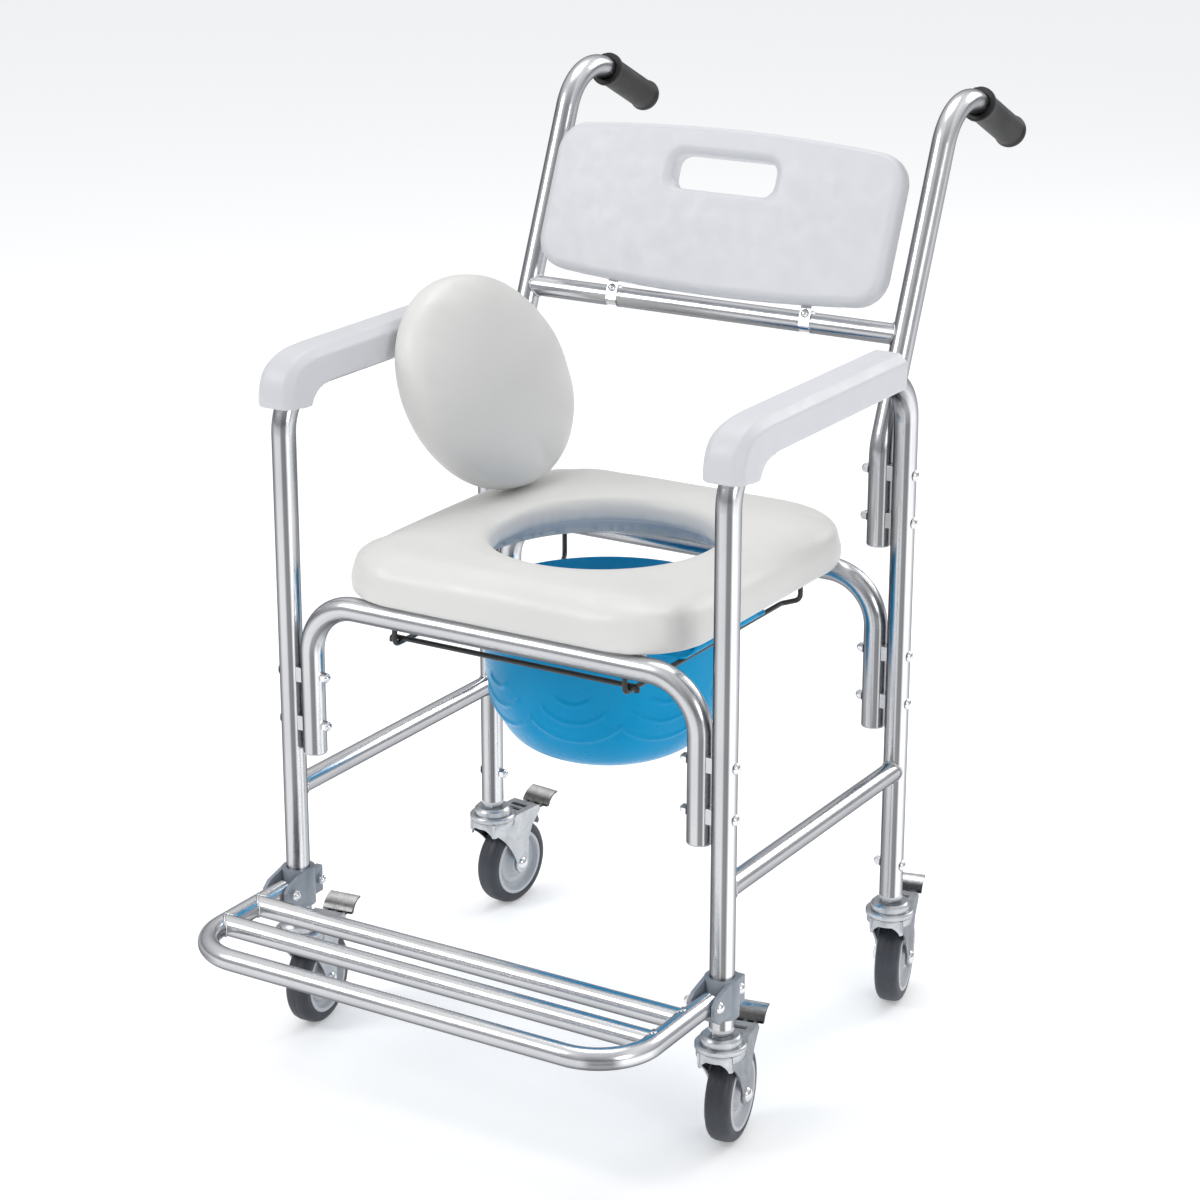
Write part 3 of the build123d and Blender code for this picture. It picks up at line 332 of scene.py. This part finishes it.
def rubber(name, colour, roughness, grain, depth):
    """Rubber: fine matt grain with dusty, slightly shinier patches."""
    material, tree, shader = new_material(name, colour, roughness)
    tint(tree, shader, noise(tree, 30.0, 5.0), [c * 0.75 for c in colour], [c * 1.35 for c in colour])
    tree.links.new(remap(tree, noise(tree, 22.0, 4.0), roughness - 0.08, roughness + 0.1),
                   shader.inputs["Roughness"])
    bump(tree, shader, noise(tree, grain, 3.0), depth, 0.0003)
    return material


def pan_plastic():
    """Glossy blue moulded plastic that passes a little light."""
    material, tree, shader = new_material("pan_plastic", (0.001, 0.31, 0.60), 0.3)
    tint(tree, shader, noise(tree, 5.0, 2.0), (0.001, 0.27, 0.55), (0.002, 0.33, 0.63))
    tree.links.new(remap(tree, noise(tree, 35.0, 3.0), 0.24, 0.34), shader.inputs["Roughness"])
    shader.inputs["Specular IOR Level"].default_value = 0.14
    shader.inputs["Subsurface Weight"].default_value = 0.04
    shader.inputs["Subsurface Radius"].default_value = (0.004, 0.008, 0.012)
    first = bump(tree, shader, noise(tree, 24.0, 2.0), 0.10, 0.002)
    bump(tree, shader, noise(tree, 500.0, 2.0), 0.05, 0.0002, below=first)
    return material


def coated(name, colour, roughness, peel):
    """Powder coat or dip coat: orange-peel surface."""
    material, tree, shader = new_material(name, colour, roughness)
    tint(tree, shader, noise(tree, 40.0, 4.0), [c * 0.85 for c in colour], [c * 1.12 for c in colour])
    tree.links.new(remap(tree, noise(tree, 120.0, 3.0), roughness - 0.06, roughness + 0.08),
                   shader.inputs["Roughness"])
    bump(tree, shader, noise(tree, peel, 3.0), 0.25, 0.0005)
    return material


MATERIALS = {
    "aluminium_tube": aluminium(),
    "steel_fastener": chrome(),
    "zinc_steel": zinc(),
    "brake_steel_painted_light": brake_steel_painted_light(),
    "white_plastic": plastic("white_plastic", (0.60, 0.61, 0.64), 0.42, 1500.0, 0.08),
    "seat_vinyl": vinyl(),
    "black_rubber": rubber("black_rubber", (0.006, 0.006, 0.007), 0.55, 900.0, 0.3),
    "tyre_rubber": rubber("tyre_rubber", (0.032, 0.036, 0.046), 0.50, 500.0, 0.3),
    "hub_plastic": plastic("hub_plastic", (0.50, 0.52, 0.55), 0.38, 1200.0, 0.12),
    "pan_plastic": pan_plastic(),
    "black_wire": coated("black_wire", (0.022, 0.022, 0.024), 0.35, 700.0),
    "cast_grey": coated("cast_grey", (0.24, 0.27, 0.31), 0.42, 420.0),
    "board": plastic("board", (0.70, 0.70, 0.68), 0.55, 700.0, 0.2),
    "bush_plastic": plastic("bush_plastic", (0.60, 0.61, 0.62), 0.45, 1000.0, 0.15),
}
SLOT_OF = {entry["node"]: entry["material_slot"] for entry in frame["record"]["subparts"]}
JOINTS = {joint["name"]: joint for joint in frame["joints"]}


# ---- helpers for pieces ------------------------------------------------------------------------
def add_piece(name, mesh, body, *replaced):
    """Link a mesh as a piece that rides a body and takes the first replaced node's material."""
    obj = bpy.data.objects.new(name, mesh)
    scene.collection.objects.link(obj)
    for polygon in mesh.polygons:
        polygon.use_smooth = True
    slot = SLOT_OF[replaced[0]]
    mesh.materials.clear()
    mesh.materials.append(MATERIALS[slot])
    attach(obj, body)
    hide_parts(*replaced)
    return obj


def welded_copy(node):
    """Mesh of a CAD node with its doubled vertices joined."""
    mesh = nodes[node].data.copy()
    work = bmesh.new()
    work.from_mesh(mesh)
    bmesh.ops.remove_doubles(work, verts=work.verts, dist=0.00001)
    work.to_mesh(mesh)
    work.free()
    return mesh


def applied(mesh, *modifiers):
    """Mesh after modifiers given as (type, {setting: value})."""
    obj = bpy.data.objects.new("work", mesh)
    scene.collection.objects.link(obj)
    for kind, settings in modifiers:
        modifier = obj.modifiers.new(kind, kind)
        for key, value in settings.items():
            setattr(modifier, key, value)
    result = bpy.data.meshes.new_from_object(obj.evaluated_get(bpy.context.evaluated_depsgraph_get()))
    bpy.data.objects.remove(obj)
    return result


def remeshed(node, voxel, smoothing):
    """Copy of a CAD node as an even mesh with softened edges."""
    return applied(welded_copy(node), ("REMESH", {"mode": "VOXEL", "voxel_size": voxel}),
                   ("SMOOTH", {"factor": 0.5, "iterations": smoothing}))


def bevelled(obj, width, sharp):
    """Bevel the edges that turn by more than the sharp angle, in degrees; returns the modifier."""
    edges = obj.modifiers.new("edges", "BEVEL")
    edges.width = width * MM
    edges.segments = 2
    edges.limit_method = "ANGLE"
    edges.angle_limit = radians(sharp)
    return edges


def grid_mesh(name, rows, close_rows):
    """Mesh from rows of points; each row is a closed ring, and the rows may close too."""
    count, width = len(rows), len(rows[0])
    faces = []
    for i in range(count if close_rows else count - 1):
        for j in range(width):
            k = (j + 1) % width
            n = (i + 1) % count
            faces.append((i * width + j, i * width + k, n * width + k, n * width + j))
    mesh = bpy.data.meshes.new(name)
    mesh.from_pydata([point for row in rows for point in row], [], faces)
    work = bmesh.new()
    work.from_mesh(mesh)
    bmesh.ops.remove_doubles(work, verts=work.verts, dist=0.000005)
    bmesh.ops.recalc_face_normals(work, faces=work.faces)
    work.to_mesh(mesh)
    work.free()
    return mesh


def curve_through(points, step):
    """Points spaced about a step apart on a smooth curve through the given (u, v) points."""
    ends = [2 * Vector(points[0]) - Vector(points[1])] + [Vector(p) for p in points]
    ends.append(2 * Vector(points[-1]) - Vector(points[-2]))
    result = []
    for p0, p1, p2, p3 in zip(ends, ends[1:], ends[2:], ends[3:]):
        pieces = max(1, round((p2 - p1).length / step))
        for i in range(pieces):
            t = i / pieces
            result.append(0.5 * (2 * p1 + (p2 - p0) * t + (2 * p0 - 5 * p1 + 4 * p2 - p3) * t * t
                                 + (3 * p1 - p0 - 3 * p2 + p3) * t ** 3))
    return result + [ends[-2]]


# ---- cushions ----------------------------------------------------------------------------------
CLOTH_PRESSURE = 4.0
CLOTH_FRAMES = 20
SLACK = 0.0015               # how much smaller a pad is before it is blown up
PAD_VOXEL = 0.005
PAD_SMOOTHING = 3
SEAT_CAP = 0.003             # how far the cloth may move a pad's points
LID_CAP = 0.0028
SEAT_HELD = 0.020            # height of the seat pad's held underside
LID_HELD = -0.010            # the lid is held below this distance from its middle


def cushion(name, mesh, node, body, cap, is_held):
    """Padded piece: an even mesh, made slightly smaller and blown up by cloth pressure.

    The held vertices stay put, and no point moves further than the cap.
    """
    for vertex in mesh.vertices:
        if not is_held(vertex.co):
            vertex.co -= vertex.normal * SLACK
    obj = bpy.data.objects.new("inflating", mesh)
    scene.collection.objects.link(obj)
    held = obj.vertex_groups.new(name="held")
    held.add([v.index for v in mesh.vertices if is_held(v.co)], 1.0, "REPLACE")
    start = [vertex.co.copy() for vertex in mesh.vertices]
    cloth = obj.modifiers.new("cloth", "CLOTH")
    cloth.settings.use_pressure = True
    cloth.settings.uniform_pressure_force = CLOTH_PRESSURE
    cloth.settings.vertex_group_mass = "held"
    cloth.settings.effector_weights.gravity = 0.0
    for number in range(1, CLOTH_FRAMES + 1):
        scene.frame_set(number)
    after = obj.evaluated_get(bpy.context.evaluated_depsgraph_get()).data
    moved = [vertex.co.copy() for vertex in after.vertices]
    bpy.data.objects.remove(obj)
    for vertex, old, new in zip(mesh.vertices, start, moved):
        step = new - old
        vertex.co = old + step * min(1.0, cap / max(step.length, 1e-9))
    mesh = applied(mesh, ("SMOOTH", {"factor": 0.5, "iterations": 5}),
                   ("SUBSURF", {"levels": 1, "render_levels": 1}))
    piece = add_piece(name, mesh, body, node)


LID_HALF = (0.131, 0.112)
LID_HALF_THICK = 0.021
LID_FRONT_ROUND = 0.018
LID_BACK_ROUND = 0.010
LID_SEGMENTS = 112
# How much of the flat's size each ring has, over the front and over the back.
FRONT_SHARES = (0.05, 0.16, 0.28, 0.40, 0.52, 0.64, 0.76, 0.88)
BACK_SHARES = (0.85, 0.7, 0.55, 0.4, 0.25, 0.1)
LID_NORMAL = Vector((0.957, -0.11, 0.268)).normalized()
LID_LONG = Vector((0.257, 0.77, -0.585)).normalized()


def lid_mesh(centre):
    """Even rings over the lid: flat front, round front edge, side, small back edge, flat back."""
    long_half, short_half = LID_HALF
    profile = []             # (share of the flat's size, inset from the side, height)
    for share in FRONT_SHARES:
        profile.append((share, LID_FRONT_ROUND, LID_HALF_THICK))
    for step in range(6):
        turn = radians(18 * step)
        profile.append((1.0, LID_FRONT_ROUND * (1 - sin(turn)),
                        LID_HALF_THICK - LID_FRONT_ROUND * (1 - cos(turn))))
    for step in range(4):
        turn = radians(30 * step)
        profile.append((1.0, LID_BACK_ROUND * (1 - cos(turn)),
                        LID_BACK_ROUND * (1 - sin(turn)) - LID_HALF_THICK))
    for share in BACK_SHARES:
        profile.append((share, LID_BACK_ROUND, -LID_HALF_THICK))
    across = LID_NORMAL.cross(LID_LONG)
    segments = LID_SEGMENTS
    rows = [[centre + LID_LONG * (share * (long_half - inset) * cos(tau * i / segments))
             + across * (share * (short_half - inset) * sin(tau * i / segments)) + LID_NORMAL * height
             for i in range(segments)] for share, inset, height in profile]
    rows.insert(0, [centre + LID_NORMAL * LID_HALF_THICK] * segments)
    rows.append([centre - LID_NORMAL * LID_HALF_THICK] * segments)
    return grid_mesh("lid", rows, False)


def make_cushions():
    """The seat, flat where it rests on its board, and the loose lid."""
    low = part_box("seat_cushion")[0][2]
    cushion("seat_pad", remeshed("seat_cushion", PAD_VOXEL, PAD_SMOOTHING), "seat_cushion", "seat", SEAT_CAP,
            lambda co: co.z < low + SEAT_HELD)
    lid_low, lid_high = (Vector(corner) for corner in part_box("lid_cushion"))
    centre = (lid_low + lid_high) / 2
    cushion("lid_pad", lid_mesh(centre), "lid_cushion", "lid", LID_CAP,
            lambda co: (co - centre).dot(LID_NORMAL) < LID_HELD)


# ---- moulded pieces ----------------------------------------------------------------------------
PANEL_VOXEL = 0.002
PANEL_SMOOTHING = 10
# Piece, CAD node, voxel size and smoothing steps of what each side has.
SIDE_MOULDINGS = (("arm_pad", "armrest_pad", 0.0018, 8), ("push_grip", "handle_grip", 0.0012, 4))


def make_moulded():
    """Backrest panel, armrest pads and grips with softened mould edges."""
    panel = remeshed("backrest_panel", PANEL_VOXEL, PANEL_SMOOTHING)
    add_piece("back_panel", panel, "frame", "backrest_panel")
    for side in SIDES:
        for piece, part, voxel, smoothing in SIDE_MOULDINGS:
            node = f"{part}_{side}"
            add_piece(f"{piece}_{side}", remeshed(node, voxel, smoothing), "frame", node)


# ---- pan ---------------------------------------------------------------------------------------
PAN_WALL = 2.5
PAN_OUTLINE = ((2, 313), (40, 313), (64, 313.6), (98, 330), (119, 362), (128, 402), (131, 456), (131.4, 459))
PAN_RIM_R = 139.0
PAN_RIM_Z = (459.05, 462.05)
WING = (142.0, 88.0)
WING_LIP = 4.0
LIP_START = 137              # how far out from the middle the wing's lip starts to rise
LIP_RISE = 3                 # and over what distance it reaches its full height
LIP_END = 20                 # how far from the wing's corners the lip ends
LIP_FALL = 8
EDGE_INSET = 0.6
EDGE_REACH = 3               # neighbours on either side that soften the flange's outline
OUTER_STEP = 1.6
INNER_STEP = 6.0
ARC_RADII = (27.0, 48.0, 69.0)
ARC_CENTRE_Z = 428.0
ARC_LOW_Z = 340.0            # the arcs fade out at this height
ARC_GROUPS = 8
ARC_TURN = radians(-75)
ARC_HEIGHT = 2.0
ARC_WIDTH = 2.3
ARC_SPREAD = 0.80            # sine of the widest angle from straight down
ARC_FADE_UP = 8.0            # distances over which the arcs fade, upwards and at their ends
ARC_FADE_ENDS = 6.0
PAN_SEGMENTS = 480
# Distance out from the edge, height and share of the wing's lip, round the flange's edge.
FLANGE = ((0.0, 0.0, 0), (0.6, 0.8, 0), (0.6, 2.2, 0.4), (-0.4, 3.0, 1), (-1.6, 3.0, 1), (-2.4, 3.0, 0.3),
          (-3.4, 3.0, 0))
# Radius and height above the flange's top, over the raised edge and down to the wall.
BEAD = ((137.6, 0.0), (137.4, 2.0), (137.4, 7.5), (138.8, 9.0), (139.0, 12.5), (138.2, 13.8), (136.2, 14.0),
        (135.2, 13.0), (135.0, 0.6), (132.0, 0.2), (130.0, 0.0), (129.0, -1.2))


def flange_radius(angle):
    """Outer edge of the flange: a circle joined to the wings' rectangle."""
    reach = min(WING[0] / max(abs(cos(angle)), 1e-6), WING[1] / max(abs(sin(angle)), 1e-6))
    return max(PAN_RIM_R, reach)


def arc_height(angle, radius, z):
    """Height of the raised nested arcs on the pan's wall."""
    spacing = tau / ARC_GROUPS
    offset = (angle - ARC_TURN + spacing / 2) % spacing - spacing / 2
    across, down = offset * radius, ARC_CENTRE_Z - z
    if down < 0 or z < ARC_LOW_Z:
        return 0.0
    reach = hypot(across, down)
    distance = min(abs(reach - arc) for arc in ARC_RADII)
    fade_up = min(1.0, (z - ARC_LOW_Z) / ARC_FADE_UP)
    fade_ends = max(0.0, min(1.0, (ARC_SPREAD * reach - abs(across)) / ARC_FADE_ENDS))
    return ARC_HEIGHT * (fade_up * fade_ends) * exp(-(distance / ARC_WIDTH) ** 2)


def make_pan():
    """Blue tub with a flange, wings that lie on the rails, and raised arcs on its wall."""
    angles = [tau * i / PAN_SEGMENTS for i in range(PAN_SEGMENTS)]
    outer = curve_through(PAN_OUTLINE, OUTER_STEP)
    inner = [point + Vector((-PAN_WALL, PAN_WALL * 0.6)) for point in curve_through(PAN_OUTLINE, INNER_STEP)]
    inner = [point for point in inner if point.x > 2.0]
    low_z, high_z = PAN_RIM_Z
    rings = []
    edges = [flange_radius(angle) for angle in angles]
    near = range(-EDGE_REACH, EDGE_REACH + 1)
    soft = [sum(edges[(i + k) % PAN_SEGMENTS] for k in near) / len(near) for i in range(PAN_SEGMENTS)]
    for radius, z in outer:
        ring = []
        for angle in angles:
            wall = radius + arc_height(angle, radius, z)
            ring.append((wall * cos(angle), wall * sin(angle), z))
        rings.append(ring)
    for out, up, lift in FLANGE:
        ring = []
        for angle, soft_edge in zip(angles, soft):
            edge = max(soft_edge + out - EDGE_INSET, BEAD[0][0])
            on_wing = max(0.0, min(1.0, (abs(edge * cos(angle)) - LIP_START) / LIP_RISE))
            on_wing *= max(0.0, min(1.0, (WING[1] - LIP_END - abs(edge * sin(angle))) / LIP_FALL))
            ring.append((edge * cos(angle), edge * sin(angle), low_z + up + lift * on_wing * WING_LIP))
        rings.append(ring)
    for radius, z in [(radius, high_z + up) for radius, up in BEAD] + inner[::-1]:
        rings.append([(radius * cos(angle), radius * sin(angle), z) for angle in angles])
    low, high = (Vector(corner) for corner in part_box("pan"))
    middle = (low + high) / 2
    place = Matrix.Translation((middle.x, middle.y, 0))
    rows = [[place @ (Vector(point) * MM) for point in ring] for ring in rings]
    rows.insert(0, [place @ Vector((0, 0, rings[0][0][2] * MM))] * PAN_SEGMENTS)
    rows.append([place @ Vector((0, 0, rings[-1][0][2] * MM))] * PAN_SEGMENTS)
    add_piece("pan_tub", grid_mesh("pan_tub", rows, False), "pan", "pan")


# ---- wheels ------------------------------------------------------------------------------------
# Half outlines as (distance along the axle, radius).
TYRE_HALF = ((13, 38.2), (13, 42), (12.8, 44.2), (11.6, 46.8), (9.4, 48.9), (6.4, 49.8), (2.4, 50.0),
             (0.8, 50.0), (0.4, 49.8), (0, 49.75))
HUB_HALF = ((13.0, 38.0), (13.6, 37.2), (13.6, 34.4), (13.0, 33.8), (9.0, 33.2), (6.2, 32.4), (5.6, 30.8),
            (5.6, 27.4), (6.4, 26.6), (7.4, 26.0), (7.4, 19.0), (6.2, 18.2), (5.8, 15.8), (9.6, 13.6),
            (13.0, 12.4), (13.7, 11.4), (13.9, 8.5), (13.9, 4.3), (0, 4.3))
WHEEL_SEGMENTS = 128
WHEEL_BEVEL = (0.25, 35)     # width in millimetres, and the angle of a sharp edge in degrees


def wheel_mesh(name, half_outline, centre, axle):
    """Ring turned about the axle from half of its outline, mirrored to the other half."""
    outline = [Vector(p) for p in half_outline]
    outline += [Vector((-p.x, p.y)) for p in reversed(outline[:-1])]
    turn = Vector((1, 0, 0)).rotation_difference(axle).to_matrix().to_4x4()
    place = Matrix.Translation(centre) @ turn
    angles = [tau * i / WHEEL_SEGMENTS for i in range(WHEEL_SEGMENTS)]
    rows = [[place @ (Vector((x, radius * cos(angle), radius * sin(angle))) * MM) for angle in angles]
            for x, radius in outline]
    return grid_mesh(name, rows, True)


def make_wheels():
    """Tyres with rounded shoulders and hubs with a rim ring, recessed web and boss."""
    for corner in CORNERS:
        joint = JOINTS[f"wheel_{corner}_roll"]
        centre, axle = Vector(joint["pos_m"]), Vector(joint["axis"])
        for kind, outline in (("tyre", TYRE_HALF), ("hub", HUB_HALF)):
            name = f"wheel_{kind}_{corner}"
            piece = add_piece(name, wheel_mesh(name, outline, centre, axle), f"wheel_{corner}",
                              f"caster_{kind}_{corner}")
            bevelled(piece, *WHEEL_BEVEL)


# ---- welds -------------------------------------------------------------------------------------
TUBE_R = 12.5
SMALL_R = 11.0
WELD_R = 1.5
WELD_STEPS = 96
WELD_SIDES = 10
WELD_RIPPLES = 30
RIPPLE_SHARE = 0.16          # how much a ripple adds to the bead's radius
WELD_LEAN = 0.9
BACK_AXIS = (0, 0.42, 1.0)   # direction of the leaning back tubes


def weld_rows(place, main_r):
    """Rings along the seam of a branch on a main tube; place maps main to Z and branch to X."""
    angles = [tau * k / WELD_SIDES for k in range(WELD_SIDES)]
    rows = []
    for i in range(WELD_STEPS):
        turn = tau * i / WELD_STEPS
        across, up = SMALL_R * cos(turn), SMALL_R * sin(turn)
        seam = Vector((sqrt(max(main_r ** 2 - across ** 2, 0.0)), across, up))
        outward = Vector((WELD_LEAN, 0, 0)) + Vector((0, cos(turn), sin(turn)))
        outward.normalize()
        along = Vector((0, -sin(turn), cos(turn)))
        side = outward.cross(along)
        size = WELD_R * (1 + RIPPLE_SHARE * sin(WELD_RIPPLES * turn))
        ring = [outward * cos(angle) + side * sin(angle) for angle in angles]
        rows.append([place @ ((seam + offset * size) * MM) for offset in ring])
    return rows


def weld(name, body, joint, branch, main, main_r):
    """Rippled weld bead where a branch tube meets a main tube."""
    branch, main = Vector(branch).normalized(), Vector(main).normalized()
    place = Matrix.Translation(joint) @ Matrix((branch, main.cross(branch), main)).transposed().to_4x4()
    mesh = grid_mesh(name, weld_rows(place, main_r), True)
    obj = bpy.data.objects.new(name, mesh)
    scene.collection.objects.link(obj)
    for polygon in mesh.polygons:
        polygon.use_smooth = True
    mesh.materials.append(MATERIALS["aluminium_tube"])
    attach(obj, body)


def make_welds():
    """Beads at the side rails, the crossbar and the footrest's bars."""
    for side, sign in SIDES.items():
        rail_low, rail_high = (Vector(corner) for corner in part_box(f"side_rail_{side}"))
        rail = (rail_low + rail_high) / 2
        frame_low, frame_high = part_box(f"side_frame_{side}")
        legs = (("front", frame_low[1] + TUBE_R * MM, 1), ("rear", frame_high[1] - TUBE_R * MM, -1))
        for end, y, direction in legs:
            name = f"rail_weld_{end}_{side}"
            weld(name, "frame", (rail.x, y, rail.z), (0, direction, 0), (0, 0, 1), TUBE_R)
        bar_low, bar_high = (Vector(corner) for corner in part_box("back_crossbar"))
        bar = (bar_low + bar_high) / 2
        tube_low, tube_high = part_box(f"back_tube_{side}")
        tube_x = (tube_low[0] + tube_high[0]) / 2
        weld(f"crossbar_weld_{side}", "frame", (tube_x, bar.y, bar.z), (-sign, 0, 0), BACK_AXIS, TUBE_R)
        rest_low, rest_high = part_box("footrest_bars")
        for number, y in enumerate((rest_low[1] + SMALL_R * MM, rest_high[1] - SMALL_R * MM)):
            place = (rail.x, y, (rest_low[2] + rest_high[2]) / 2)
            weld(f"footrest_weld_{number}_{side}", "footrest", place, (-sign, 0, 0), (0, 1, 0), SMALL_R)


# ---- dress the CAD nodes and finish ------------------------------------------------------------
BEVELLED = ("footrest_clamp", "caster_fork", "frame_saddles")
CAST_BEVEL = (0.4, 40)       # width in millimetres, and the angle of a sharp edge in degrees
JOIN_REACH = 0.01


def dress_cad():
    """Give every CAD node its slot's material, and round the edges of the castings and pressings."""
    for name, obj in nodes.items():
        # the brake levers take the plated steel with painted highlight and shade
        material = "brake_steel_painted_light" if name.startswith("caster_brake") else SLOT_OF[name]
        for slot in obj.material_slots:
            slot.material = MATERIALS[material]
        if name.startswith(BEVELLED):
            joined = obj.modifiers.new("joined", "WELD")
            joined.merge_threshold = JOIN_REACH * MM
            bevelled(obj, *CAST_BEVEL).harden_normals = True


dress_cad()
make_cushions()
make_moulded()
make_pan()
make_wheels()
make_welds()
set_camera()
set_stage()
